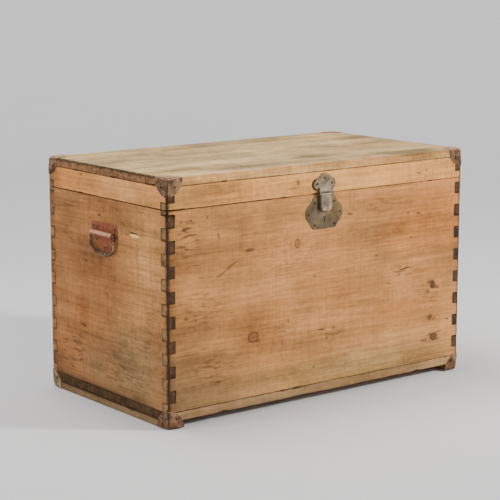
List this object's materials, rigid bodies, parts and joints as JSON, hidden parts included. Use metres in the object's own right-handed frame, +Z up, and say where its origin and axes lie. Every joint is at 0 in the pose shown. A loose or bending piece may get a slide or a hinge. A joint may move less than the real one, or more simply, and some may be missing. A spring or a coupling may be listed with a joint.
{
  "type": "wooden chest",
  "caption": "Finger-jointed pine chest with a hinged lid, a hasp lock at the front, a swinging iron ring handle at each end and iron caps on its corners.",
  "frame": {"origin": "middle of the footprint, on the surface that the skids stand on", "axes": "+X to the right along the front, +Y from the front to the back, +Z up; the front with the lock faces -Y"},
  "size_m": [0.8262, 0.4562, 0.5063],
  "materials": {
    "pine_wall": "bare aged pine, orange-tan, worn and lightly scratched",
    "lid_board_wood": "bare pine bleached to a greyish straw colour",
    "base_board_wood": "bare aged pine with dark end grain",
    "skid_wood": "bare pine, dirty and scuffed",
    "cap_iron": "thin sheet iron, brown rust over grey",
    "handle_iron": "sheet iron with red-brown rust",
    "ring_iron": "round iron rod, dark rust, worn brighter on the grip",
    "nail_iron": "dark domed nail heads",
    "hasp_steel": "worn grey steel, rubbed smooth",
    "latch_steel": "aged grey-brown steel with a brassy tint",
    "hinge_iron": "thin iron leaves with brown rust",
    "inner_steel": "dull unpolished steel",
    "bolt_brass": "dull brass"
  },
  "bodies": {
    "chest": {"back_panel": "pine_wall", "base_board_back": "base_board_wood", "base_board_front": "base_board_wood", "corner_cap_bottom_back_left": "cap_iron", "corner_cap_bottom_back_right": "cap_iron", "corner_cap_bottom_front_left": "cap_iron", "corner_cap_bottom_front_right": "cap_iron", "front_panel": "pine_wall", "handle_nail_left_1": "nail_iron", "handle_nail_left_2": "nail_iron", "handle_nail_left_3": "nail_iron", "handle_nail_left_4": "nail_iron", "handle_nail_left_5": "nail_iron", "handle_nail_right_1": "nail_iron", "handle_nail_right_2": "nail_iron", "handle_nail_right_3": "nail_iron", "handle_nail_right_4": "nail_iron", "handle_nail_right_5": "nail_iron", "handle_plate_left": "handle_iron", "handle_plate_right": "handle_iron", "hinge_leaf_body_left": "hinge_iron", "hinge_leaf_body_right": "hinge_iron", "hinge_pin_left": "inner_steel", "hinge_pin_right": "inner_steel", "left_panel": "pine_wall", "lock_case": "inner_steel", "lock_key_post": "inner_steel", "lock_plate": "latch_steel", "lock_plate_nail_1": "nail_iron", "lock_plate_nail_2": "nail_iron", "lock_plate_nail_3": "nail_iron", "lock_plate_nail_4": "nail_iron", "lock_plate_nail_5": "nail_iron", "lock_plate_nail_6": "nail_iron", "right_panel": "pine_wall", "skid_left": "skid_wood", "skid_right": "skid_wood"},
    "lid": {"corner_cap_top_back_left": "cap_iron", "corner_cap_top_back_right": "cap_iron", "corner_cap_top_front_left": "cap_iron", "corner_cap_top_front_right": "cap_iron", "hasp_hinge_pin": "inner_steel", "hinge_leaf_lid_left": "hinge_iron", "hinge_leaf_lid_right": "hinge_iron", "lid_back_rail": "pine_wall", "lid_board_back": "lid_board_wood", "lid_board_front": "lid_board_wood", "lid_board_middle": "lid_board_wood", "lid_front_rail": "pine_wall", "lid_left_rail": "pine_wall", "lid_plate": "latch_steel", "lid_plate_nail_1": "nail_iron", "lid_plate_nail_2": "nail_iron", "lid_plate_nail_3": "nail_iron", "lid_right_rail": "pine_wall"},
    "hasp": {"hasp": "hasp_steel"},
    "lock_bolt": {"lock_bolt": "bolt_brass"},
    "ring_left": {"handle_ring_left": "ring_iron"},
    "ring_right": {"handle_ring_right": "ring_iron"}
  },
  "joints": [
    {"name": "lid_hinge", "type": "hinge", "parent": "chest", "child": "lid", "pos_m": [0, 0.2235, 0.4414], "axis": [-1, 0, 0], "range_deg": [0, 104]},
    {"name": "hasp_hinge", "type": "hinge", "parent": "lid", "child": "hasp", "pos_m": [0, -0.2256, 0.4392], "axis": [-1, 0, 0], "range_deg": [0, 100]},
    {"name": "lock_bolt_slide", "type": "slide", "parent": "chest", "child": "lock_bolt", "axis": [1, 0, 0], "range_m": [0, 0.008]},
    {"name": "ring_left_hinge", "type": "hinge", "parent": "chest", "child": "ring_left", "pos_m": [-0.4071, 0.002, 0.367], "axis": [0, 1, 0], "range_deg": [0, 175]},
    {"name": "ring_right_hinge", "type": "hinge", "parent": "chest", "child": "ring_right", "pos_m": [0.4071, 0.002, 0.367], "axis": [0, -1, 0], "range_deg": [0, 175]}
  ]
}
